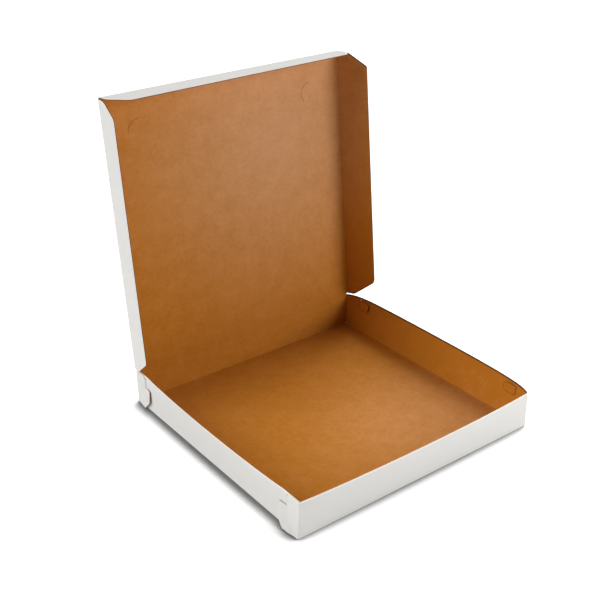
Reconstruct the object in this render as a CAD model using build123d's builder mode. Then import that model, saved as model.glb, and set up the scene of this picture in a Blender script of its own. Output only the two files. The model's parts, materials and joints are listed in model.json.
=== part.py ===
# Lock-corner pizza box, folded from one sheet of solid paperboard, with its lid standing open.
# Millimetres. X runs right along the front wall, Y to the rear, Z up.
# The origin is on the table, in the middle of the tray's floor.
from math import cos, radians, sin, tan
import os

from build123d import *

# Board
board = 0.6                  # thickness of the sheet
fold_radius = 0.3            # inside radius of a creased fold

# Tray
inside_width = 305.0         # between the side walls
inside_depth = 307.0         # between the front and rear walls
wall_height = 42.0           # table to the top of the walls
corner_gap = 0.3             # end of a side wall to the front or rear wall

# Corner ears, which fold off the front and rear walls and lie outside the side walls
ear_gap = 0.15               # side wall to ear, where the lock holds it close
ear_length = 30.0            # free edge, measured from the face of the wall it folds off
ear_bottom = 1.0             # lower edge above the table
ear_top_drop = 1.0           # upper edge below the top of the walls
ear_flat = 19.5              # straight part of the lower edge
ear_chamfer_rise = 10.5      # height of the cut across the ear's lower free corner
front_ear_spring = 11.0      # degrees that the lower part bends outwards from the lock
rear_ear_spring = 9.0

# Lock tabs, which run on from the ears, through slits in the side walls
tab_start = 20.0             # where the tab leaves the ear's plane
tab_length = 38.0            # rounded end, measured as the ear is
tab_bottom = 27.5
tab_top = 38.5
tab_round = 4.5              # radius of its end corners
tab_cut = 1.0                # gap between the tab and the ear's lower part
tab_standoff = 0.3           # side wall's inside face to the tab, where it comes through
tab_slant = 45.0             # degrees to the wall, where the tab passes through its slit
tab_lift = 3.0               # degrees that the tab leans into the tray
bend_radius = 0.5            # of the two soft bends through the slit, on the board's middle
slit_play = 0.25             # tab to the edge of its slit, along the wall
slit_end_play = 1.2          # tab to the rounded ends of its slit

# Lid hinge, a crease along the top of the rear wall
hinge_play = 0.1             # top of the walls to the closed lid
hinge_relief = 0.15          # crease line to the edge of the lid panel
lid_open = 94.3              # degrees from closed to the pose as modelled
lid_play = 0.4               # closed flaps to the faces that they cover

# Lid flaps, which close over the outside of the tray
flap_depth = 42.0
flap_crease = 0.35           # crease line to the edges of the panel and the flap
left_splay = 7.5             # degrees past square, as modelled
right_splay = 18.0
front_splay = 2.0
flap_end_gap = 1.0           # end of a flap to the edge of the lid panel, at the crease
front_taper_start = 17.0     # depth at which the end cut begins, on the corners near the lid's front
front_taper = 14.5           # length of that cut along the flap
hinge_taper_start = 11.0     # the same, at the side flaps' ends near the hinge
hinge_taper = 21.5
flap_round = 9.0             # radius that softens the corners of the end cuts

# Vent cuts near the front corners of the lid panel
vent_radius = 12.7
vent_width = 0.5
vent_inset = 42.0            # centre of the arc to the nearest two edges of the lid
vent_from = 95.0             # degrees, where the arc begins and how far it turns
vent_turn = 140.0

# Faces that the pieces share
outer_fold = fold_radius + board
wall_in = inside_width / 2
wall_out = wall_in + board
end_in = inside_depth / 2
end_out = end_in + board
ear_in = wall_out + ear_gap
ear_out = ear_in + board
ear_mid = ear_in + board / 2
ear_top = wall_height - ear_top_drop
ear_split = tab_bottom - tab_cut
hinge_y = end_in + board / 2
hinge_z = wall_height + hinge_play + board / 2
side_crease = ear_out + lid_play + board / 2
front_crease = hinge_y + end_out + lid_play + board / 2


def folded_section(plane, inside_span):
    """A floor with a wall folded up at each end, drawn across the two folds."""
    with BuildSketch(plane) as section:
        Rectangle(inside_span + 2 * board, wall_height, align=(Align.CENTER, Align.MIN))
        fillet(section.vertices().group_by(Axis.Y)[0], outer_fold)
        with Locations((0, board)):
            Rectangle(inside_span, wall_height, align=(Align.CENTER, Align.MIN), mode=Mode.SUBTRACT)
        fillet(section.vertices().group_by(Axis.Y)[1], fold_radius)
    return section.sketch


def corner_line(last_y):
    """Middle of the board in plan: along the front wall, round the corner and back to last_y."""
    bend_x = ear_out - outer_fold
    wall_run = Line((wall_out - outer_fold - board, -hinge_y), (bend_x, -hinge_y))
    corner = JernArc(start=wall_run @ 1, tangent=(1, 0), radius=fold_radius + board / 2, arc_size=90)
    Line(corner @ 1, (ear_mid, last_y))


def ear_outline():
    """The ear's upper part and tab as cut from the sheet, seen square to the side wall."""
    with BuildSketch(Plane.YZ.offset(wall_in - tab_length)) as outline:
        with BuildLine():
            Polyline(
                (-end_out - board, ear_bottom),
                (-end_out + outer_fold, ear_bottom),
                (-end_out + tab_start, ear_split),
                (-end_out + tab_start, tab_bottom),
                (-end_out + tab_length, tab_bottom),
                (-end_out + tab_length, tab_top),
                (-end_out + tab_start, tab_top),
                (-end_out + tab_start - (ear_top - tab_top), ear_top),
                (-end_out - board, ear_top),
                close=True,
            )
        make_face()
        fillet(outline.vertices().group_by(Axis.X)[-1], tab_round)
    return outline.sketch


def sprung_part(spring):
    """The ear's lower part, bent outwards about the line from the corner's foot to the lock."""
    foot = (ear_in, -end_out + outer_fold, ear_bottom)
    with BuildPart() as lower:
        with BuildSketch(Plane.YZ.offset(ear_in)):
            with BuildLine():
                Polyline(
                    (-end_out + outer_fold, ear_bottom),
                    (-end_out + ear_flat, ear_bottom),
                    (-end_out + ear_length, ear_bottom + ear_chamfer_rise),
                    (-end_out + ear_length, ear_split),
                    (-end_out + tab_start, ear_split),
                    close=True,
                )
            make_face()
        extrude(amount=board)
    bend_line = Axis(foot, (0, tab_start - outer_fold, ear_split - ear_bottom))
    return lower.part.rotate(bend_line, -spring)


def corner_ear(spring):
    """The ear at the front right corner, with its lock tab through the side wall."""
    tab_x = wall_in - tab_standoff - board / 2
    tab_y = -end_out + tab_start + (ear_mid - tab_x) / tan(radians(tab_slant))
    with BuildPart() as ear:
        # Corner bend and upper part, close to the side wall
        with BuildSketch(Plane.XY.offset(ear_bottom)):
            with BuildLine():
                corner_line(-end_out + tab_start)
            trace(line_width=board)
        extrude(amount=ear_top - ear_bottom)
        # Tab, through the slit and along the inside of the wall, then cut to length by the outline
        with BuildSketch(Plane.XY.offset(tab_bottom)):
            with BuildLine():
                FilletPolyline(
                    (ear_mid, -end_out + outer_fold + board),
                    (ear_mid, -end_out + tab_start),
                    (tab_x, tab_y),
                    (tab_x - tab_length * tan(radians(tab_lift)), tab_y + tab_length),
                    radius=bend_radius,
                )
            trace(line_width=board)
        extrude(amount=tab_top - tab_bottom)
        extrude(ear_outline(), amount=2 * tab_length, mode=Mode.INTERSECT)
        add(sprung_part(spring))
    return ear.part


front_ear = corner_ear(front_ear_spring)
rear_ear = mirror(corner_ear(rear_ear_spring), about=Plane.XZ)

with BuildPart() as tray:
    # Floor and side walls, then floor and front and rear walls
    extrude(folded_section(Plane.XZ, inside_width), amount=end_in - corner_gap, both=True)
    extrude(folded_section(Plane.YZ, inside_depth), amount=wall_out - outer_fold, both=True)
    # Slits for the lock tabs
    tab_reach = board / 2 / sin(radians(tab_slant)) + slit_play
    slit_near = tab_start + (ear_mid - wall_out) / tan(radians(tab_slant)) - tab_reach
    slit_far = tab_start + (ear_mid - wall_in) / tan(radians(tab_slant)) + tab_reach
    slit_middle = end_out - (slit_near + slit_far) / 2
    with BuildSketch(Plane.YZ):
        with Locations((slit_middle, (tab_bottom + tab_top) / 2), (-slit_middle, (tab_bottom + tab_top) / 2)):
            SlotOverall(tab_top - tab_bottom + 2 * slit_end_play, slit_far - slit_near, rotation=90)
    extrude(amount=wall_out + board, both=True, mode=Mode.SUBTRACT)
    # Four ears
    add([front_ear, rear_ear])
    add([mirror(front_ear, about=Plane.YZ), mirror(rear_ear, about=Plane.YZ)])

# The open lid's own directions: up from the hinge, and out of its kraft face
lean = radians(lid_open - 90)
lid_up = Vector(0, sin(lean), cos(lean))
lid_face = Vector(0, -cos(lean), sin(lean))
hinge_point = Vector(0, hinge_y, hinge_z)
lid_plane = Plane(origin=hinge_point, x_dir=Vector(1, 0, 0), z_dir=lid_face)
panel_half = side_crease - flap_crease
lid_edge = side_crease + board / 2
lid_length = front_crease + board / 2

with BuildPart() as lid_panel:
    with BuildSketch(lid_plane):
        with Locations((0, hinge_relief)):
            Rectangle(2 * panel_half, front_crease - flap_crease - hinge_relief, align=(Align.CENTER, Align.MIN))
        for vent_u in (vent_inset - lid_edge, lid_edge - vent_inset):
            with BuildLine():
                CenterArc((vent_u, lid_length - vent_inset), vent_radius, vent_from, vent_turn)
            trace(line_width=vent_width, mode=Mode.SUBTRACT)
    extrude(amount=board / 2, both=True)


def flap_plane(crease_point, along, splay):
    """Plane of a flap whose depth leans from the lid's kraft face by splay degrees, outwards."""
    outwards = (crease_point - hinge_point) - along * (crease_point - hinge_point).dot(along)
    depth_way = lid_face * cos(radians(splay)) + outwards.normalized() * sin(radians(splay))
    return Plane(origin=crease_point, x_dir=along, z_dir=along.cross(depth_way))


def flap_outline(plane, start, end, start_taper, end_taper):
    """Flap with cut ends, from start to end along its crease; a taper is (depth it starts at, length)."""
    with BuildSketch(plane) as outline:
        with BuildLine():
            Polyline(
                (start, flap_crease),
                (start, start_taper[0]),
                (start + start_taper[1], flap_depth),
                (end - end_taper[1], flap_depth),
                (end, end_taper[0]),
                (end, flap_crease),
                close=True,
            )
        make_face()
        fillet(outline.vertices().filter_by(lambda corner: corner.Y > 2 * flap_crease), flap_round)
    return outline.sketch


front_end = (front_taper_start, front_taper)
hinge_end = (hinge_taper_start, hinge_taper)

with BuildPart() as lid_left_flap:
    left_plane = flap_plane(hinge_point - Vector(side_crease, 0, 0), lid_up, left_splay)
    extrude(
        flap_outline(left_plane, flap_end_gap, lid_length - flap_end_gap - board, hinge_end, front_end),
        amount=board / 2,
        both=True,
    )

with BuildPart() as lid_right_flap:
    right_plane = flap_plane(hinge_point + Vector(side_crease, 0, 0), lid_up, right_splay)
    extrude(
        flap_outline(right_plane, flap_end_gap, lid_length - flap_end_gap - board, hinge_end, front_end),
        amount=board / 2,
        both=True,
    )

with BuildPart() as lid_front_flap:
    front_plane = flap_plane(hinge_point + lid_up * front_crease, Vector(1, 0, 0), front_splay)
    extrude(
        flap_outline(front_plane, flap_end_gap - lid_edge, lid_edge - flap_end_gap, front_end, front_end),
        amount=board / 2,
        both=True,
    )

os.makedirs("parts", exist_ok=True)
tray.part.label = "tray"
lid_panel.part.label = "lid_panel"
lid_left_flap.part.label = "lid_left_flap"
lid_right_flap.part.label = "lid_right_flap"
lid_front_flap.part.label = "lid_front_flap"
export_step(tray.part, "parts/tray.step")
export_step(lid_panel.part, "parts/lid_panel.step")
export_step(lid_left_flap.part, "parts/lid_left_flap.step")
export_step(lid_right_flap.part, "parts/lid_right_flap.step")
export_step(lid_front_flap.part, "parts/lid_front_flap.step")
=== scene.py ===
"""A pizza box of thin board, kraft inside and white outside, open on a white ground.

The box is one sheet. Every piece below is a net of points on the flat sheet, and a function that folds those
points into place. On the sheet u runs to the right and v to the rear, from the middle of the floor. Lengths
are in millimetres until the mesh is written.
"""
import json
from math import cos, pi, radians, sin, tan

import bpy
import numpy as np
from mathutils import Matrix, Vector


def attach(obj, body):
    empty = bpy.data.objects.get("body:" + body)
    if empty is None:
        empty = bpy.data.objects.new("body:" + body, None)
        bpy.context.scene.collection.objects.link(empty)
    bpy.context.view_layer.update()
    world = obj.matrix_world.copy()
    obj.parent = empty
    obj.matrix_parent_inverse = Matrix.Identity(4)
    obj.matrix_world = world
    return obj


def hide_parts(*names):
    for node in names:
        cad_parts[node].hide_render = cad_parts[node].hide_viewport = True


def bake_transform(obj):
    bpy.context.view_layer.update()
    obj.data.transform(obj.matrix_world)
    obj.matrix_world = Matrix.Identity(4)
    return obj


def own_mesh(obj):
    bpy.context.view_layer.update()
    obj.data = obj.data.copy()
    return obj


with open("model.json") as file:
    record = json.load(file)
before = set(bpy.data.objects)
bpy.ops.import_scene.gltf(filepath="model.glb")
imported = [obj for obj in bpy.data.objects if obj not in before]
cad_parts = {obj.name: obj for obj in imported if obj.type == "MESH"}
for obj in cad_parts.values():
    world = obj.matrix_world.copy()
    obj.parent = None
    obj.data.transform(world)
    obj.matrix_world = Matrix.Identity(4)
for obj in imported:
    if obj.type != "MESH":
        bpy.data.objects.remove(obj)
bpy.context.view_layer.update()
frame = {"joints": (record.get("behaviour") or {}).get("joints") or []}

MM = 0.001

# The board and its folds, on the middle of its thickness
BOARD = 0.6
FOLD = 0.6
ARC_STEPS = 6
SHARP = radians(35)             # faces that meet at more than this keep a sharp edge

# Layers of the board, as its faces carry them
KRAFT, CUT_EDGE, WHITE = 1.0, 0.5, 0.0
EDGE_BAND = 2.3                 # width of the band of painted shade on the kraft and painted highlight on the white beside a cut edge
TAB_BAND = 0.45                 # strength of the painted shade at a lock tab's outline

# Tolerances with which a point belongs to a line of its net
ON_LINE, NEAR = 0.01, 0.1
PROBE = 0.02                    # step over which the slope of the folded sheet is taken

# Tray
SIDE = 152.8                    # middle of a side wall from the centre
END = 153.8                     # middle of the front or rear wall
WALL_TOP = 42.0
RIGHT_LEAN = 11.7               # how far the right wall's top has eased outwards, with its ears
EASE_FRONT = ((0.35, 10.0), (0.65, 40.0))       # shares of it that come from each end, and their lengths
EASE_REAR = ((0.65, 12.0), (0.35, 30.0))
LEFT_LEAN, LEFT_FREE = 3.9, 127.0               # the left wall leans between its ears only
FRONT_LEAN = 4.8
PRESSED, PRESSED_FRONT = 0.09, 0.03             # share of its depth that a wall keeps under the closed lid
PRESSED_EAR = 0.7

# Corner ears and lock tabs: s runs back from the outer face of the front or rear wall
EAR = 153.55                    # middle of an ear from the centre
EAR_LOW, EAR_HIGH = 1.0, 41.6
EAR_FLAT, EAR_RISE = 19.5, 12.0                 # straight part of the lower edge, and the cut corner's height
EAR_LONG = 32.5                 # where the net has a line for the ear's end, which is then drawn in
EAR_SLANT = 0.13                # rise of a front ear's lower edge over its length
TAB_START, TAB_END, TAB_LOW, TAB_HIGH, TAB_ROUND = 20.0, 38.0, 27.5, 38.5, 4.5
TAB_CUT = 0.4
TAB_IN = 1.65                   # how far the tab moves in, and how far along it takes
TAB_LEAN = 7.0
SLIT = (19.8, 21.7)
SLIT_LOW, SLIT_HIGH = 27.0, 38.9
FRONT_SPRING, REAR_SPRING, SPRING_BEND = 9.0, 9.5, 6.0
FOOT_OUT, FOOT_HEIGHT, FOOT_FADE = 3.0, 32.0, 60.0      # the front left foot stands out, up to this height
FOOT_EAR, FOOT_EAR_FADE = 11.0, 9.0                     # its ear takes part in that for this long
EAR_BELLY, BELLY_HEIGHT, BELLY_REACH = 5.1, 26.0, 20.0  # and the ear's lower part swings out

# Lid, from the frame's joints
joints = {joint["name"]: joint for joint in frame["joints"]}
HINGE = np.array(joints["lid_hinge"]["pos_m"]) / MM
LID_UP = np.array(joints["right_flap_fold"]["axis"], float)
LID_ACROSS = np.array([1.0, 0.0, 0.0])
LID_FACE = np.cross(LID_ACROSS, LID_UP)
SIDE_CREASE = joints["right_flap_fold"]["pos_m"][0] / MM
FRONT_CREASE = float((np.array(joints["front_flap_fold"]["pos_m"]) / MM - HINGE) @ LID_UP)
LID_LENGTH = FRONT_CREASE + BOARD / 2
LID_EDGE = SIDE_CREASE + BOARD / 2
CREASE = 0.7                    # from a crease of the lid to where its flat parts begin
CREASE_TURN = CREASE - BOARD / 2  # and to where the turn of a moved flap is complete
BROAD_WAVE, FINE_WAVE = 0.35, 0.18              # heights of the panel's waves
BROAD_ACROSS, BROAD_ALONG = (37, 0.8), (51, 0.4)        # their length for one radian, and their phase
FINE_ACROSS, FINE_ALONG = 16, 23
WAVE_FADE = 30.0                # from the panel's edges to where they have their full height

# Flaps
FLAP_DEPTH = 42.0
SPLAY = {"left": 7.5, "right": 18.0, "front": 2.0}
FLAP_GAP = 1.0
FRONT_CUT, HINGE_CUT = (17.0, 14.5), (11.0, 21.5)   # depth at which an end cut begins, and its length
FLAP_ROUNDS = {"left": (26.0, 6.0), "right": (5.0, 3.5), "front": (9.0, 9.0)}   # of an end cut's two corners
HINGE_ROUNDS = (9.0, 9.0)
FREE_EDGE = 40.0                # stretch of the free edge that is enough for an end cut's rounding
FLAP_TWIST = {"left": 0.0, "right": 0.0, "front": 1.6}
FLAP_BOW = {"left": 0.5, "right": -0.8, "front": 0.4}
CREASE_LINES = 61               # lines of the net across a crease, over its length
FLAP_LINES, FLAP_STEPS = 25, 60     # lines over a flap's depth, and steps along it between its shaded ends
ROUND_POINTS = 15               # points of the arc that rounds a corner of an end cut

# Vent cuts
VENT_RADIUS, VENT_INSET = 12.7, 42.0
VENTS = {-1: (85.0, 100.0), 1: (100.0, 125.0)}      # by side, the angle at which the cut starts and its turn
VENT_WIDE = 0.9
# depth of the groove along a vent cut, where the kraft also carries painted shade
VENT_GROOVE = 0.25
VENT_PATCH = 20.0               # half the width of a patch of finer net about a vent
PATCH_CELLS, VENT_RING = 16, 10     # squares from its middle to its edge, and to the cut


def bent(along, flat, radius, turn):
    """A strip that lies flat, turns up by an angle on an arc, then runs straight on.

    Up to flat the point moves along the first axis only. On the arc its angle is the length past flat over
    the radius, which gives radius times sine along and radius times one minus cosine up. Past the arc it
    follows the tangent. Returns (along, up).
    """
    angle = np.clip((along - flat) / radius, 0, turn)
    past = np.maximum(along - flat - radius * turn, 0)
    first = np.minimum(along, flat) + radius * np.sin(angle) + past * cos(turn)
    return first, radius * (1 - np.cos(angle)) + past * sin(turn)


def soft_step(t):
    """0 to 1 with level ends: three t squared less two t cubed."""
    t = np.clip(t, 0, 1)
    return t * t * (3 - 2 * t)


def eased(length, parts):
    """0 to 1 from a wall's end, the sum of its parts.

    Each part is its share times one minus e to the minus length over the part's reach.
    """
    return sum(share * (1 - np.exp(-np.maximum(length, 0) / reach)) for share, reach in parts)


def bow(t):
    """1 in the middle and 0 at minus one and one: one minus t squared, to the power 0.8."""
    return np.clip(1 - t * t, 0, 1) ** 0.8


def on_line(place, line):
    """Whether points lie on a line of their net."""
    return np.abs(place - line) < ON_LINE


def spaced(*stretches):
    """Net lines: each stretch is (from, to, steps), evenly divided, and shared ends appear once."""
    lines = np.concatenate([np.linspace(a, b, n + 1) for a, b, n in stretches])
    return lines[np.concatenate([[True], np.diff(lines) > 1e-6])]


def mirrored(lines):
    """Net lines on both sides of zero, from those on its positive side."""
    return np.concatenate([-lines[:0:-1], lines])


def net_squares(shape):
    """Squares of a net as indices of its points: first along the first index, then along the second."""
    place = np.arange(shape[0] * shape[1]).reshape(shape)
    squares = np.stack([place[:-1, :-1], place[1:, :-1], place[1:, 1:], place[:-1, 1:]], -1)
    return squares.reshape(-1, 4)


def net(us, vs):
    """Points of a rectangular net, and its squares, anticlockwise from the kraft side."""
    u, v = np.meshgrid(us, vs, indexing="ij")
    return u, v, net_squares(u.shape)


def middles(squares, *fields):
    """Mean of each field over the corners of each square."""
    return [field.ravel()[squares].mean(axis=1) for field in fields]


def board_piece(name, u, v, squares, folded, rims=CUT_EDGE, border=0.0, sunk=0.0):
    """Closed shell of board over a net.

    folded(u, v) gives the middle of the sheet. The normal is the cross product of its changes with u and v.
    The kraft face is half a board's thickness along the normal and the white face as far behind it, each less
    what sunk says, for grooves. An edge of the net that has one square only gets a strip, and rims is the
    layer of the strips, point by point. border is 1 at a cut edge with a band of painted shade on the kraft
    and painted highlight on the white beside it, and 0 past that band.
    """
    shape = u.shape
    used, squares = np.unique(squares, return_inverse=True)
    squares = squares.reshape(-1, 4)
    u, v, rims, border, sunk = (
        np.broadcast_to(field, shape).ravel()[used].astype(float) for field in (u, v, rims, border, sunk)
    )
    middle = folded(u, v)
    by_u = folded(u + PROBE, v) - folded(u - PROBE, v)
    by_v = folded(u, v + PROBE) - folded(u, v - PROBE)
    normal = np.cross(by_u, by_v)
    normal /= np.linalg.norm(normal, axis=1)[:, None]
    lift = normal * (BOARD / 2 - sunk)[:, None]
    count = len(u)
    starts = squares.ravel()
    ends = np.roll(squares, -1, axis=1).ravel()
    single = ~np.isin(starts * count + ends, ends * count + starts)
    a, b = starts[single], ends[single]
    strips = np.stack([b, a, a + count, b + count], 1)
    faces = np.concatenate([squares, squares[:, ::-1] + count, strips])
    points = np.concatenate([middle + lift, middle - lift])
    mesh = bpy.data.meshes.new(name)
    mesh.from_pydata((points * MM).tolist(), [], faces.tolist())
    kraft, white = np.full(len(squares), KRAFT), np.full(len(squares), WHITE)
    for field, domain, values in (
        ("layer", "FACE", np.concatenate([kraft, white, np.minimum(rims[a], rims[b])])),
        ("border", "POINT", np.tile(border, 2)),
        ("groove", "POINT", np.tile(sunk / max(sunk.max(), 1e-9), 2)),
    ):
        mesh.attributes.new(field, "FLOAT", domain).data.foreach_set("value", values)
    flat = np.stack([np.tile(u, 2), np.tile(v, 2)], 1) * MM
    mesh.uv_layers.new(name="blank").data.foreach_set("uv", flat[faces.ravel()].ravel())
    mesh.shade_smooth()
    mesh.set_sharp_from_angle(angle=SHARP)
    piece = bpy.data.objects.new(name, mesh)
    bpy.context.scene.collection.objects.link(piece)
    return piece


# Tray
FLOOR_Z = BOARD / 2
SIDE_FLAT, END_FLAT = SIDE - FOLD, END - FOLD
ARC = FOLD * pi / 2
EAR_FLAT_U = EAR - FOLD          # where the corner bend begins on the wall
SIDE_TOP = SIDE_FLAT + ARC + WALL_TOP - FLOOR_Z - FOLD
END_TOP = END_FLAT + ARC + WALL_TOP - FLOOR_Z - FOLD
END_FACE = END + BOARD / 2


def end_v(height):
    """Sheet coordinate of a height on the front or rear wall."""
    return END_FLAT + ARC + height - FLOOR_Z - FOLD


def side_u(height):
    """Sheet coordinate of a height on a side wall."""
    return SIDE_FLAT + ARC + height - FLOOR_Z - FOLD


def ear_u(s):
    """Sheet coordinate of a point s back from the wall's outer face, on an ear."""
    return EAR_FLAT_U + ARC + s - BOARD / 2 - FOLD


SLIT_U = side_u(SLIT_LOW), side_u(SLIT_HIGH)
SLIT_V = END_FACE - SLIT[1], END_FACE - SLIT[0]


def folded_ear(side, z, front, front_left):
    """Ears and their tabs. Returns their places across, back and up, and s.

    An ear is the end of the front or rear wall, bent back by a right angle in plan. Below the line from the
    corner's foot to the lock it bends outwards again. Its tab steps in through the slit and leans inwards.
    """
    plan, back = bent(side, EAR_FLAT_U, FOLD, pi / 2)
    s = back + BOARD / 2
    spring = np.where(front, radians(FRONT_SPRING), radians(REAR_SPRING))
    run, rise = TAB_START - FOLD - BOARD / 2, TAB_LOW - TAB_CUT - EAR_LOW
    length = np.hypot(run, rise)
    below = ((s - FOLD - BOARD / 2) * rise - (z - EAR_LOW) * run) / length
    bend = np.clip(below / SPRING_BEND, 0, spring)
    past = np.maximum(below - SPRING_BEND * spring, 0)
    shrink = np.maximum(below, 0) - SPRING_BEND * np.sin(bend) - past * np.cos(spring)
    out = SPRING_BEND * (1 - np.cos(bend)) + past * np.sin(spring)
    belly = EAR_BELLY * soft_step(1 - z / BELLY_HEIGHT) * np.clip(s / BELLY_REACH, 0, 1) ** 2
    is_tab = (z > TAB_LOW - TAB_CUT / 2) & (s > TAB_START)
    step_in = TAB_IN * soft_step((s - TAB_START) / TAB_IN)
    lean = tan(radians(TAB_LEAN)) * np.maximum(s - TAB_START - TAB_IN, 0)
    out = np.where(is_tab, -step_in - lean, out + belly * front_left)
    shrink = np.where(is_tab, 0, shrink)
    return plan + out, END - back + shrink * rise / length, z + shrink * run / length, s


def folded_tray(u, v):
    """Floor, walls, ears and tabs. A wall is the floor bent up by a right angle, and then it leans."""
    side, far = np.abs(u), np.abs(v)
    front_left = (u < 0) & (v < 0)
    x, side_up = bent(side, SIDE_FLAT, FOLD, pi / 2)
    y, end_up = bent(far, END_FLAT, FOLD, pi / 2)
    on_ear = (side > SIDE_FLAT) & (far > END_FLAT + NEAR)
    z = FLOOR_Z + np.where(on_ear, end_up, side_up + end_up)
    ear_x, ear_y, ear_z, s = folded_ear(side, z, v < 0, front_left)
    x, y, z = np.where(on_ear, ear_x, x), np.where(on_ear, ear_y, y), np.where(on_ear, ear_z, z)
    # The foot stands out by the 1.5th power of what is left of its height, less and less away from the corner
    on_end = far > END_FLAT + ARC / 2
    foot = FOOT_OUT * np.clip(1 - z / FOOT_HEIGHT, 0, 1) ** 1.5 * soft_step(1 - (SIDE - side) / FOOT_FADE)
    x = x + foot * (front_left & on_end) * (1 - soft_step((s - FOOT_EAR) / FOOT_EAR_FADE) * on_ear)
    # Each wall leans in proportion to the height above its fold
    free = on_ear | (side > SIDE_FLAT + ARC / 2)
    rear = y * np.sign(v)
    share = eased(END + rear, EASE_FRONT) * eased(END - rear, EASE_REAR)
    up = np.maximum(z - FLOOR_Z - FOLD, 0) / (WALL_TOP - FLOOR_Z - FOLD)
    x = x + RIGHT_LEAN * (u > 0) * free * share * up
    x = x + LEFT_LEAN * (u < 0) * (free & ~on_ear) * bow(rear / LEFT_FREE) * up
    y = y + FRONT_LEAN * (v < 0) * on_end * bow(side / EAR_FLAT_U) * up
    return np.stack([np.sign(u) * x, np.sign(v) * y, z], -1)


def tray_net():
    """A net over the whole sheet of the tray, with a line wherever it is folded, bent or cut."""
    half_u = spaced(
        (0, SIDE_FLAT, 26),
        (SIDE_FLAT, EAR_FLAT_U, 2),
        (EAR_FLAT_U, SIDE_FLAT + ARC, 1),
        (SIDE_FLAT + ARC, EAR_FLAT_U + ARC, 5),
        (EAR_FLAT_U + ARC, ear_u(TAB_START), 12),
        (ear_u(TAB_START), ear_u(TAB_START + TAB_IN), 5),
        (ear_u(TAB_START + TAB_IN), ear_u(EAR_LONG), 5),
        (ear_u(EAR_LONG), ear_u(TAB_END), 5),
        (ear_u(TAB_END), SIDE_TOP - EDGE_BAND, 2),
        (SIDE_TOP - EDGE_BAND, SIDE_TOP, 1),
    )
    half_v = spaced(
        (0, SLIT_V[0], 24),
        (SLIT_V[0], SLIT_V[1], 2),
        (SLIT_V[1], END_FLAT, 5),
        (END_FLAT, END_FLAT + ARC, ARC_STEPS),
        (END_FLAT + ARC, end_v(EAR_LOW), 1),
        (end_v(EAR_LOW), end_v(EAR_LOW + EAR_RISE), 7),
        (end_v(EAR_LOW + EAR_RISE), end_v(TAB_LOW - TAB_CUT), 8),
        (end_v(TAB_LOW - TAB_CUT), end_v(TAB_LOW), 1),
        (end_v(TAB_LOW), end_v(TAB_HIGH), 10),
        (end_v(TAB_HIGH), end_v(EAR_HIGH), 3),
        (end_v(EAR_HIGH), END_TOP, 1),
    )
    # The nearest lines move to the ends of the slits in the side walls
    for slit_end in SLIT_U:
        half_u[np.abs(half_u - slit_end).argmin()] = slit_end
    return net(mirrored(half_u), mirrored(half_v))


def is_board(side, far):
    """Which squares of the tray's net are board, and not open corner or slit, by their middles' distances."""
    height, s = far - end_v(0), side - ear_u(0)
    corner = side > SIDE_FLAT
    ear = corner & (height > EAR_LOW) & (height < EAR_HIGH) & (s < EAR_LONG)
    ear &= (height < TAB_LOW - TAB_CUT) | (s < TAB_START)
    tab = corner & (height > TAB_LOW) & (height < TAB_HIGH) & (s < TAB_END)
    slit = (far > SLIT_V[0]) & (far < SLIT_V[1]) & (side > SLIT_U[0]) & (side < SLIT_U[1])
    return np.where(corner & (far > END_FLAT), ear | tab, ~slit)


def drawn_in(u, v):
    """Draws the net's lines on the ears and tabs in to their slanted and rounded ends.

    An ear's lines shrink along s by the ratio of its length at each height to that of the net, and a tab's
    between its start and the arc that rounds it. A front ear's lower part rises in proportion to s. Returns
    the moved points, which of them are on an ear, which are on a tab, and which on a tab's outline.
    """
    height, s = np.abs(v) - end_v(0), np.abs(u) - ear_u(0)
    on_ear = (np.abs(u) > EAR_FLAT_U + ARC) & (np.abs(v) > END_FLAT + ARC / 2)
    low_end = EAR_FLAT + np.clip(height - EAR_LOW, 0, EAR_RISE)
    top_end = TAB_START - np.clip(height - TAB_HIGH, 0, None)
    ratio = np.where(height < TAB_LOW - TAB_CUT / 2, low_end / EAR_LONG, 1)
    ratio = np.where(height > TAB_HIGH + ON_LINE, top_end / TAB_START, ratio)
    from_middle = np.abs(height - (TAB_LOW + TAB_HIGH) / 2)
    off = np.clip(from_middle - (TAB_HIGH - TAB_LOW) / 2 + TAB_ROUND, 0, TAB_ROUND)
    tab_end = TAB_END - TAB_ROUND + np.sqrt(TAB_ROUND ** 2 - off ** 2)
    tab_s = TAB_START + TAB_IN
    in_tab = (height > TAB_LOW - ON_LINE) & (height < TAB_HIGH + ON_LINE) & (s > tab_s)
    s = np.where(in_tab, tab_s + (s - tab_s) * (tab_end - tab_s) / (TAB_END - tab_s), s * ratio)
    u = np.where(on_ear, np.sign(u) * (ear_u(0) + s), u)
    raised = (v < 0) * EAR_SLANT * s * np.clip(1 - (height - EAR_LOW) / (TAB_LOW - TAB_CUT - EAR_LOW), 0, 1)
    v = np.where(on_ear, v + np.sign(v) * raised, v)
    on_tab = on_ear & (s > TAB_START + BOARD / 2) & (height > TAB_LOW - NEAR)
    tab_edge = on_tab & ((height < TAB_LOW + NEAR) | (height > TAB_HIGH - NEAR) | (s > tab_end - NEAR))
    return u, v, on_ear, on_tab, tab_edge


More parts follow.
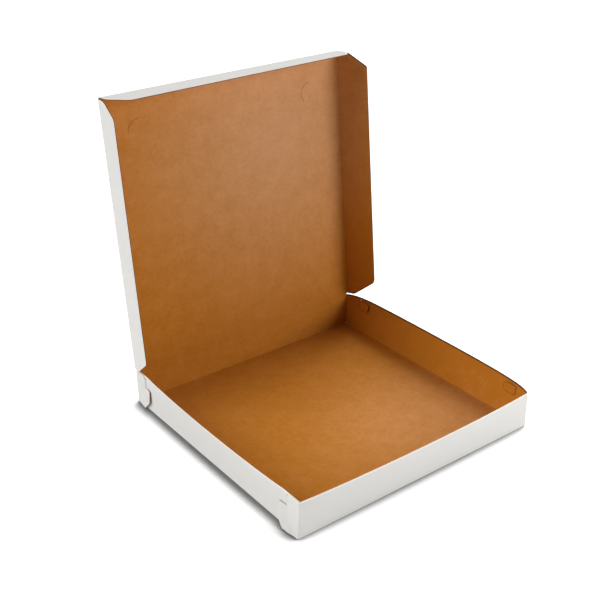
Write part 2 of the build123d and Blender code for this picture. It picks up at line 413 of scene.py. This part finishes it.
def tray_edges(u, v, on_ear, on_tab, tab_edge):
    """The layer of the strips at each point, and how much of an edge's shade each point has.

    At the folds that the pressed walls leave, a strip has the colour of the side on which it shows. The
    painted shade on the kraft and painted highlight on the white go from 1 at the top of a side wall or the
    front wall to 0 at the end of their band, and a tab's outline has part of the painted shade.
    """
    side, far = np.abs(u), np.abs(v)
    near_slit = (far > SLIT_V[0] - NEAR) & (far < SLIT_V[1] + NEAR) & (side < SIDE_TOP - NEAR)
    round_corner = (far > END_FLAT + ARC / 2) & (side > EAR_FLAT_U + ARC / 2)
    side_fold = on_line(side, SIDE_FLAT + ARC) & (far < END_FLAT)
    front_fold = on_line(v, -END_FLAT - ARC) & (side < EAR_FLAT_U + ON_LINE)
    front_fold |= on_line(side, EAR_FLAT_U) & (v < -END_FLAT - ARC)
    # The right wall's top strip takes the kraft layer, and with it the painted shade beside that edge
    right_top = u > SIDE_TOP - ON_LINE
    rims = np.select(
        [
            side_fold & (u > 0),
            side_fold | front_fold | right_top | on_tab | near_slit & (u > 0),
            near_slit | on_ear | round_corner,
        ],
        [WHITE, KRAFT, WHITE],
        CUT_EDGE,
    )
    # Painted shade on the kraft and painted highlight on the white, in a band below the tops of the side
    # walls and the front wall, and round the lock tabs
    to_edge = np.minimum(SIDE_TOP - side, END_TOP + v)
    return rims, np.maximum(np.clip(1 - to_edge / EDGE_BAND, 0, 1), TAB_BAND * tab_edge)


def tray_pieces():
    """The tray, and its parts that a closed lid pushes back, each a piece of its own.

    Those are the front and left walls, the right wall with its ears, and the front left ear.
    """
    u, v, squares = tray_net()
    side, far = middles(squares, np.abs(u), np.abs(v))
    board = is_board(side, far)
    u, v, *on_parts = drawn_in(u, v)
    rims, border = tray_edges(u, v, *on_parts)
    right, rear = middles(squares, u, v)
    leaning = (side > SIDE_FLAT + ARC) & (far < END_FLAT)
    on_ears = side > EAR_FLAT_U + ARC
    parts = {
        "front_wall": (rear < -END_FLAT - ARC) & (side < EAR_FLAT_U),
        "left_wall": leaning & (right < 0),
        "right_wall": (leaning | on_ears) & (right > 0),
        "front_left_ear": on_ears & (right < 0) & (rear < -END_FLAT),
    }
    parts["tray"] = ~np.any(list(parts.values()), axis=0)
    return {name: board_piece(name + "_board", u, v, squares[board & part], folded_tray, rims, border)
            for name, part in parts.items()}


# Lid
PANEL_V = end_v(WALL_TOP) + HINGE[2] - WALL_TOP       # sheet coordinate of the hinge
WALL_STOP = WALL_TOP - 0.2                            # the hinge strip begins this high on the rear wall


def lid_point(across, along, proud=0.0):
    """A point on the open lid's own axes: across, up from the hinge, and out of its kraft face."""
    proud = np.asarray(proud + np.zeros_like(across))
    return HINGE + across[..., None] * LID_ACROSS + along[..., None] * LID_UP + proud[..., None] * LID_FACE


def folded_panel(u, v):
    """The lid panel: flat, with waves that die out at its edges.

    The broad waves are a product of a sine across and a sine along, and the fine ones a sine on the slant.
    """
    along = v - PANEL_V
    rest = soft_step((SIDE_CREASE - np.abs(u)) / WAVE_FADE) * soft_step(along / WAVE_FADE)
    rest = rest * soft_step((FRONT_CREASE - along) / WAVE_FADE)
    broad = BROAD_WAVE * np.sin(u / BROAD_ACROSS[0] + BROAD_ACROSS[1])
    broad = broad * np.sin(along / BROAD_ALONG[0] + BROAD_ALONG[1])
    fine = FINE_WAVE * np.sin(u / FINE_ACROSS - along / FINE_ALONG)
    return lid_point(u, along, rest * (broad + fine))


def near_vents(u, v):
    """Draws the net's lines round each vent into circles.

    In a square patch about the vent, the lines at one distance from its middle form a square ring. Its points
    keep their angle. Their radius becomes that of a circle, up to the ring just past the cut, and then goes
    back to their own at the patch's edge. Returns the moved points and the depth of the groove there.
    """
    groove = np.zeros_like(u)
    cell = VENT_PATCH / PATCH_CELLS
    rings = cell * np.array([0, VENT_RING - 1, VENT_RING, VENT_RING + 1, PATCH_CELLS])
    radii = [0, VENT_RADIUS - VENT_WIDE, VENT_RADIUS, VENT_RADIUS + VENT_WIDE, VENT_PATCH]
    for side, (begins, turns) in VENTS.items():
        mid_u = side * (LID_EDGE - VENT_INSET)
        mid_v = PANEL_V + LID_LENGTH - VENT_INSET
        du, dv = u - mid_u, v - mid_v
        ring = np.maximum(np.abs(du), np.abs(dv))
        angle = np.arctan2(dv, du)
        inside = ring < VENT_PATCH - 1e-6
        back = soft_step((ring - rings[3]) / (VENT_PATCH - rings[3]))
        reach = (1 - back) * np.interp(ring, rings, radii) + back * np.hypot(du, dv)
        u = np.where(inside, mid_u + reach * np.cos(angle), u)
        v = np.where(inside, mid_v + reach * np.sin(angle), v)
        turn = (np.degrees(angle) - begins) % 360
        groove = np.where(inside & (np.abs(ring - rings[2]) < cell / 2) & (turn < turns), VENT_GROOVE, groove)
    return u, v, groove


def lid_piece():
    """The panel, with finer lines round the vent cuts."""
    across, along = LID_EDGE - VENT_INSET, LID_LENGTH - VENT_INSET
    us = mirrored(spaced(
        (0, across - VENT_PATCH, 22),
        (across - VENT_PATCH, across + VENT_PATCH, 2 * PATCH_CELLS),
        (across + VENT_PATCH, SIDE_CREASE - CREASE, 8),
    ))
    vs = PANEL_V + spaced(
        (CREASE, along - VENT_PATCH, 60),
        (along - VENT_PATCH, along + VENT_PATCH, 2 * PATCH_CELLS),
        (along + VENT_PATCH, FRONT_CREASE - CREASE, 8),
    )
    u, v, squares = net(us, vs)
    u, v, groove = near_vents(u, v)
    return board_piece("lid_board", u, v, squares, folded_panel, rims=KRAFT, sunk=groove)


# Flaps and creases: depth runs out of the lid over a crease, and along runs with the crease
def flap_frame(which):
    """Crease point, direction along the crease, outward direction and depth direction of a flap."""
    along = LID_ACROSS if which == "front" else LID_UP
    out = {"left": -LID_ACROSS, "right": LID_ACROSS, "front": LID_UP}[which]
    at = HINGE + out * (FRONT_CREASE if which == "front" else SIDE_CREASE)
    splay = radians(SPLAY[which])
    return at, along, out, LID_FACE * cos(splay) + out * sin(splay)


def flap_ends(which):
    """Where a flap begins and ends along its crease."""
    if which == "front":
        return FLAP_GAP - LID_EDGE, LID_EDGE - FLAP_GAP
    return FLAP_GAP, LID_LENGTH - FLAP_GAP - BOARD


def to_sheet(which, depth, along):
    """Sheet coordinates of points on a flap or its crease, and the squares of their net.

    Only on the right do depth and along turn the same way as u and v, so the other squares are turned over.
    """
    squares = net_squares(depth.shape)
    if which == "front":
        return along, PANEL_V + FRONT_CREASE + depth, squares[:, ::-1]
    if which == "left":
        return -(SIDE_CREASE + depth), PANEL_V + along, squares[:, ::-1]
    return SIDE_CREASE + depth, PANEL_V + along, squares


def from_sheet(which, u, v):
    """Depth and along of points on the sheet."""
    if which == "front":
        return v - PANEL_V - FRONT_CREASE, u
    return np.abs(u) - SIDE_CREASE, v - PANEL_V


def end_cut(depth, cut, rounds):
    """How far a flap's end is cut back at a depth: a slanted line with its two corners rounded.

    The outline runs straight out, along the slant and along the free edge. Each corner is an arc of its own
    radius that touches both its lines, and the cut is read off the outline at the given depths.
    """
    start, length = cut
    corners = np.array([[0.0, 0.0], [start, 0.0], [FLAP_DEPTH, length], [FLAP_DEPTH, length + FREE_EDGE]])
    outline = [corners[:1]]
    for before, at, after, rounding in zip(corners, corners[1:], corners[2:], rounds):
        way_in = (at - before) / np.linalg.norm(at - before)
        way_out = (after - at) / np.linalg.norm(after - at)
        turn = np.arccos(way_in @ way_out)
        reach = rounding * tan(turn / 2)
        t = np.linspace(0, 1, ROUND_POINTS)[:, None] * turn
        side = way_out - (way_out @ way_in) * way_in
        side /= np.linalg.norm(side)
        outline.append(at - way_in * reach + rounding * (np.sin(t) * way_in + (1 - np.cos(t)) * side))
    outline = np.concatenate(outline)
    return np.interp(depth, outline[:, 0], outline[:, 1])


def flap_net(which):
    """Net over a flap: lines across its depth, closer near the free edge, and lines along it to its ends."""
    depth = CREASE + (FLAP_DEPTH - CREASE) * np.sin(np.linspace(0, pi / 2, FLAP_LINES))
    depth = np.unique(np.append(depth, FLAP_DEPTH - EDGE_BAND))
    start, end = flap_ends(which)
    rounds = FLAP_ROUNDS[which]
    start_cut = (FRONT_CUT, rounds) if which == "front" else (HINGE_CUT, HINGE_ROUNDS)
    low = start + end_cut(depth, *start_cut)
    high = end - end_cut(depth, FRONT_CUT, rounds)
    band = EDGE_BAND / (end - start)
    t = spaced((0, band, 1), (band, 1 - band, FLAP_STEPS), (1 - band, 1, 1))
    along = low[:, None] + (high - low)[:, None] * t
    return np.repeat(depth[:, None], len(t), axis=1), along


def flap_piece(which):
    """One lid flap: flat along its depth, apart from a twist and a slight bow that is level at the crease.

    The twist grows with the depth times the distance from the crease's middle. The bow is a sine of the depth
    times a cosine of that distance.
    """
    at, along_way, out, depth_way = flap_frame(which)
    proud_way = out - (out @ depth_way) * depth_way
    proud_way /= np.linalg.norm(proud_way)
    middle, half = (0, LID_EDGE) if which == "front" else (LID_LENGTH / 2, LID_LENGTH / 2)

    def folded(u, v):
        depth, along = from_sheet(which, u, v)
        past = np.maximum(depth - CREASE, 0)
        proud = past * tan(radians(FLAP_TWIST[which])) * (along - middle) / half
        across = np.cos(pi / 2 * (along - middle) / half)
        proud = proud + FLAP_BOW[which] * np.sin(pi * past / FLAP_DEPTH) * across
        return at + along[..., None] * along_way + depth[..., None] * depth_way + proud[..., None] * proud_way

    u, v, squares = to_sheet(which, *flap_net(which))
    row, column = np.indices(u.shape)
    # The free edge and both ends carry the painted shade and highlight beside a cut edge; the flap's strips
    # take the kraft layer, and with it that painted shade
    cut = (row == u.shape[0] - 1) | (column == 0) | (column == u.shape[1] - 1)
    return board_piece(which + "_flap_board", u, v, squares, folded, rims=KRAFT, border=cut)


def crease_piece(which):
    """The fold between the panel and a flap, an arc that touches both."""
    at, along_way, out, depth_way = flap_frame(which)
    turn = pi / 2 - radians(SPLAY[which])
    radius = CREASE / tan(turn / 2)
    arc = radius * turn
    up = depth_way - (depth_way @ out) * out
    up /= np.linalg.norm(up)

    def folded(u, v):
        depth, along = from_sheet(which, u, v)
        first, second = bent(depth + arc / 2, 0, radius, turn)
        start = at - CREASE * out
        return start + along[..., None] * along_way + first[..., None] * out + second[..., None] * up

    crossing = np.linspace(0, arc, ARC_STEPS + 1) - arc / 2
    depth, along = np.meshgrid(crossing, np.linspace(*flap_ends(which), CREASE_LINES), indexing="ij")
    u, v, squares = to_sheet(which, depth, along)
    return board_piece(which + "_crease", u, v, squares, folded)


def hinge_piece():
    """The strip between the rear wall and the lid panel, which goes softly from one's line to the other's."""
    us = np.linspace(-SIDE_CREASE + CREASE, SIDE_CREASE - CREASE, CREASE_LINES)
    low, high = end_v(WALL_STOP), PANEL_V + CREASE
    u, v, squares = net(us, np.linspace(low, high, ARC_STEPS + 1))

    def folded(u, v):
        t = (v - low) / (high - low)
        foot = np.stack([u * SIDE_FLAT / us[-1], np.full_like(u, END), WALL_STOP + (v - low)], -1)
        top = lid_point(u, v - PANEL_V)
        return foot + (top - foot) * soft_step(t)[..., None]

    return board_piece("hinge_crease", u, v, squares, folded)


# Finishes
KRAFT_BROWN, KRAFT_PALE = (0.555, 0.206, 0.016, 1), (0.62, 0.31, 0.14, 1)
KRAFT_SHADE = (0.82, 0.80, 0.78, 1)             # what the mottle's dark parts keep of the colour under them
PAINTED_SHADE_KRAFT = (0.09, 0.032, 0.009, 1)          # painted shade beside a cut edge, round a lock tab, and in a vent cut
# The coat's third colour, beside a cut edge, is a painted highlight
COAT_DULL, COAT_CLEAN, PAINTED_HIGHLIGHT_COAT = (0.785, 0.77, 0.74, 1), (0.825, 0.81, 0.78, 1), (0.98, 0.96, 0.93, 1)
EDGE_DULL, EDGE_CLEAN = (0.90, 0.82, 0.70, 1), (0.95, 0.90, 0.80, 1)
PAINTED_SHADE_RIGHT = 0.32                                  # painted shade: how much less pale the parts turned up on the right are
PAINTED_SHADE_RIGHT_FROM, PAINTED_SHADE_RIGHT_TO = SIDE_CREASE - 14, SIDE_CREASE + 4    # where on the sheet that sets in
PAINTED_LIGHT_SPOTS = (                                  # painted pools of light on the kraft: middle on the sheet, reach and strength
    ((75, PANEL_V + 250), 300, 0.95),
    ((95, -95), 210, 0.4),
)


class Wire:
    """A node's output. Arithmetic on it adds Math nodes."""

    def __init__(self, paint, socket):
        self.paint, self.socket = paint, socket

    def __add__(self, other):
        return self.paint.maths("ADD", self, other)

    def __radd__(self, other):
        return self.paint.maths("ADD", other, self)

    def __sub__(self, other):
        return self.paint.maths("SUBTRACT", self, other)

    def __rsub__(self, other):
        return self.paint.maths("SUBTRACT", other, self)

    def __mul__(self, other):
        return self.paint.maths("MULTIPLY", self, other)

    def __rmul__(self, other):
        return self.paint.maths("MULTIPLY", other, self)

    def __gt__(self, other):
        return self.paint.maths("GREATER_THAN", self, other)

    def __lt__(self, other):
        return self.paint.maths("LESS_THAN", self, other)


class Paint:
    """A material's or the world's nodes."""

    def __init__(self, owner):
        owner.use_nodes = True
        self.tree = owner.node_tree
        self.tree.nodes.clear()

    def node(self, kind, sockets=None, out=0, **settings):
        """Adds a node, its settings first and then what its sockets take, and returns an output."""
        made = self.tree.nodes.new("ShaderNode" + kind)
        for name, value in settings.items():
            setattr(made, name, value)
        for name, value in (sockets or {}).items():
            if isinstance(value, Wire):
                self.tree.links.new(value.socket, made.inputs[name])
            else:
                made.inputs[name].default_value = value
        return Wire(self, made.outputs[out]) if made.outputs else made

    def maths(self, operation, a, b):
        return self.node("Math", {0: a, 1: b}, operation=operation)

    def noise(self, at, scale, detail, rough, stretch=(1, 1, 1)):
        """Noise of mean about one half; scale is in cycles a metre."""
        placed = self.node("Mapping", {"Vector": at, "Scale": tuple(scale * s for s in stretch)})
        return self.node("TexNoise", {"Vector": placed, "Scale": 1.0, "Detail": detail, "Roughness": rough})

    def colour_mix(self, factor, a, b, how="MIX"):
        """Mix of two colours. A Mix node's colours are its sockets 6 and 7, and its colour output is 2."""
        return self.node("Mix", {0: factor, 6: a, 7: b}, out=2, data_type="RGBA", blend_type=how)


def board_finish():
    """Kraft, coated white or cut edge, by the layer that each face belongs to."""
    material = bpy.data.materials.new("pizza_box_board")
    paint = Paint(material)
    sheet = paint.node("UVMap", uv_map="blank")
    layer, border, groove = (
        paint.node("Attribute", attribute_name=name, out="Fac") for name in ("layer", "border", "groove")
    )
    is_kraft, is_bare = layer > (KRAFT + CUT_EDGE) / 2, layer > (CUT_EDGE + WHITE) / 2
    wear = paint.noise(sheet, scale=7, detail=2, rough=0.5)
    cloud = paint.noise(sheet, scale=55, detail=3, rough=0.6)
    grain = paint.noise(sheet, scale=230, detail=4, rough=0.65, stretch=(0.8, 1, 1))
    fibre = paint.noise(sheet, scale=1500, detail=2, rough=0.6, stretch=(0.3, 1, 1))
    mottle = (wear - 0.5) * 0.5 + (cloud - 0.5) * 0.8 + (grain - 0.5) * 0.8 + (fibre - 0.5) * 0.2
    tone = 0.05 + mottle * 0.4
    # Painted light: pale pools on the right of the lid panel and on the front right of the floor
    for middle, reach, strength in PAINTED_LIGHT_SPOTS:
        centre = (middle[0] * MM, middle[1] * MM, 0)
        away = paint.node("VectorMath", {0: sheet, 1: centre}, out="Value", operation="DISTANCE")
        spot = {"Value": away, "From Min": reach * MM, "From Max": 0.0, "To Min": 0.0, "To Max": strength}
        tone = tone + paint.node("MapRange", spot, interpolation_type="SMOOTHSTEP")
    # Painted shade: what is turned up on the right is made browner and darker than the floor and the lid
    across = paint.node("SeparateXYZ", {"Vector": sheet}, out="X")
    turned_up = {"Value": across, "From Min": PAINTED_SHADE_RIGHT_FROM * MM, "From Max": PAINTED_SHADE_RIGHT_TO * MM}
    tone = tone - PAINTED_SHADE_RIGHT * paint.node("MapRange", turned_up, interpolation_type="SMOOTHSTEP")
    kraft = paint.colour_mix(tone, KRAFT_BROWN, KRAFT_PALE)
    shaded = paint.colour_mix(1.0, kraft, KRAFT_SHADE, "MULTIPLY")
    kraft = paint.colour_mix(mottle * 1.3 + 0.55, shaded, kraft)
    # Painted shade: a dark band on the kraft beside cut edges and round lock tabs, and along the vent cuts
    kraft = paint.colour_mix((border * 1.5 + groove * 0.45) * is_kraft, kraft, PAINTED_SHADE_KRAFT)
    coat = paint.colour_mix(cloud, COAT_DULL, COAT_CLEAN)
    # Painted highlight: a paler band on the white beside cut edges
    coat = paint.colour_mix(border, coat, PAINTED_HIGHLIGHT_COAT)
    edge = paint.colour_mix(grain, EDGE_DULL, EDGE_CLEAN)
    skin = paint.colour_mix(is_kraft, paint.colour_mix(is_bare, coat, edge), kraft)
    height = (grain * 0.6 + fibre * 0.4) * (0.15 + 0.85 * is_bare)
    bump = paint.node("Bump", {"Height": height, "Strength": 0.25, "Distance": 0.0001})
    surface = paint.node("BsdfPrincipled", {
        "Base Color": skin,
        "Roughness": 0.68 + 0.2 * is_bare,
        "Normal": bump,
        "Specular IOR Level": 0.2,
    })
    paint.node("OutputMaterial", {"Surface": surface})
    return material


# Pieces
finish = board_finish()
pieces = tray_pieces()
for piece in pieces.values():
    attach(piece, "tray")
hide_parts("tray")
for which, axis, place, keep in (
    ("front_wall", (0, 1, 0), -END_FACE, PRESSED_FRONT),
    ("left_wall", (1, 0, 0), -SIDE - BOARD / 2, PRESSED),
    ("right_wall", (1, 0, 0), SIDE - BOARD / 2, PRESSED),
    ("front_left_ear", (1, 0, 0), -EAR, PRESSED_EAR),
):
    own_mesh(pieces[which])
pieces["lid"] = lid_piece()
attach(pieces["lid"], "lid")
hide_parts("lid_panel")
for which in ("left", "right", "front"):
    flap = flap_piece(which)
    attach(flap, which + "_flap")
    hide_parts("lid_" + which + "_flap")
    pieces[which] = flap
    at, along_way, out, depth_way = flap_frame(which)
    crease = crease_piece(which)
    turn_ends = at - CREASE_TURN * out, at + CREASE_TURN * depth_way
    which + "_flap"
    turn_ends[0] * MM
    turn_ends[1] * MM
    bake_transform(crease)
    pieces[which + "_crease"] = crease
pieces["hinge"] = hinge_piece()
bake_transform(pieces["hinge"])
for piece in pieces.values():
    piece.data.materials.append(finish)


# Ground, light and camera
CAMERA_AT = Vector((-606.96, -774.05, 636.25)) * MM
AZIMUTH, ELEVATION, ROLL = radians(-36.462), radians(26.680), radians(-1.026)
FOCAL_PIXELS, FRAME_PIXELS = 1038.86, 600
GROUND_HALF = 6                 # metres
GROUND_WHITE, BLACK, FULL_WHITE = (0.9, 0.9, 0.9, 1), (0, 0, 0, 1), (1, 1, 1, 1)
CONTACT_REACH = 0.017           # metres from the box's foot over which the ground carries a painted contact shadow
OPEN_FROM, OPEN_TO, DARKEST = 0.34, 0.90, 0.12  # openness of the darkest and the plain ground, and how dark


def set_camera():
    """Camera with the photograph's place, direction, roll and angle of view."""
    ahead = Vector((-sin(AZIMUTH) * cos(ELEVATION), cos(AZIMUTH) * cos(ELEVATION), -sin(ELEVATION)))
    level = ahead.cross(Vector((0, 0, 1))).normalized()
    upright = level.cross(ahead)
    right = level * cos(ROLL) + upright * sin(ROLL)
    up = upright * cos(ROLL) - level * sin(ROLL)
    lens = bpy.data.cameras.new("camera")
    lens.sensor_width = 36.0
    lens.lens = FOCAL_PIXELS * lens.sensor_width / FRAME_PIXELS
    camera = bpy.data.objects.new("camera", lens)
    camera.matrix_world = Matrix.Translation(CAMERA_AT) @ Matrix((right, up, -ahead)).transposed().to_4x4()
    bpy.context.scene.collection.objects.link(camera)
    bpy.context.scene.camera = camera


def ground_finish():
    """A white glow that only the camera sees, on a matt white. To the camera both darken close to the box."""
    material = bpy.data.materials.new("ground")
    paint = Paint(material)
    seen = paint.node("LightPath", out="Is Camera Ray")
    # Painted contact shadow: to the camera the ground darkens where the box hides its sky, weighted towards
    # the lamps on the right so that it is darker on the box's left
    towards_light = paint.node("CombineXYZ", {"X": 0.42, "Y": 0.0, "Z": 0.90})
    reach = {"Distance": CONTACT_REACH, "Normal": towards_light}
    open_sky = paint.node("AmbientOcclusion", reach, out="AO", samples=16)
    ramp = {"Value": open_sky, "From Min": OPEN_FROM, "From Max": OPEN_TO, "To Min": DARKEST, "To Max": 1.0}
    tight = paint.node("MapRange", ramp, interpolation_type="SMOOTHSTEP")
    shade = paint.colour_mix(tight, BLACK, GROUND_WHITE)
    matt = paint.node("BsdfDiffuse", {"Color": paint.colour_mix(seen, GROUND_WHITE, shade)})
    shine = paint.colour_mix(tight, BLACK, FULL_WHITE)
    glow = paint.node("Emission", {"Color": shine, "Strength": 0.5})
    dark = paint.node("Emission", {"Strength": 0.0})
    shown = paint.node("MixShader", {0: seen, 1: dark, 2: glow})
    both = paint.node("AddShader", {0: matt, 1: shown})
    paint.node("OutputMaterial", {"Surface": both})
    return material


def set_ground():
    """Wide floor that shows white to the camera and keeps the box's shadow."""
    u, v, squares = net((-GROUND_HALF, GROUND_HALF), (-GROUND_HALF, GROUND_HALF))
    mesh = bpy.data.meshes.new("ground")
    mesh.from_pydata(np.stack([u.ravel(), v.ravel(), np.zeros(u.size)], 1).tolist(), [], squares.tolist())
    mesh.materials.append(ground_finish())
    ground = bpy.data.objects.new("ground", mesh)
    bpy.context.scene.collection.objects.link(ground)


def hang(name, lamp, azimuth, elevation, distance):
    """Puts a lamp off the lid's middle, at an azimuth round from the front to the right, facing the lid."""
    a, e = radians(azimuth), radians(elevation)
    way = Vector((sin(a) * cos(e), -cos(a) * cos(e), sin(e)))
    place = Vector((HINGE + LID_UP * LID_LENGTH / 2) * MM) + way * distance
    made = bpy.data.objects.new(name, lamp)
    made.matrix_world = Matrix.Translation(place) @ way.to_track_quat("Z", "Y").to_matrix().to_4x4()
    bpy.context.scene.collection.objects.link(made)


def set_light():
    """Even pale surroundings, and soft lamps: three from a long way off, and a disk near the front."""
    world = bpy.data.worlds.new("surroundings")
    bpy.context.scene.world = world
    paint = Paint(world)
    seen = paint.node("LightPath", out="Is Camera Ray")
    lit = paint.node("Background", {"Color": FULL_WHITE, "Strength": 0.08})
    shown = paint.node("Background", {"Color": FULL_WHITE, "Strength": 1.0})
    mixed = paint.node("MixShader", {0: seen, 1: lit, 2: shown})
    paint.node("OutputWorld", {"Surface": mixed})
    for name, azimuth, elevation, spread, strength in (
        ("lamp_left", -108, 30, 50, 2.0),
        ("lamp_behind", 120, 32, 40, 1.5),
        ("lamp_right", 92, 57, 22, 0.65),
    ):
        lamp = bpy.data.lights.new(name, "SUN")
        lamp.energy, lamp.angle = strength, radians(spread)
        hang(name, lamp, azimuth, elevation, distance=1.0)
    lamp = bpy.data.lights.new("lamp_front", "AREA")
    lamp.shape, lamp.size, lamp.energy = "DISK", 1.0, 20.0
    hang("lamp_front", lamp, azimuth=35, elevation=13, distance=2.0)


set_camera()
set_ground()
set_light()
bpy.context.scene.view_settings.view_transform = "Standard"
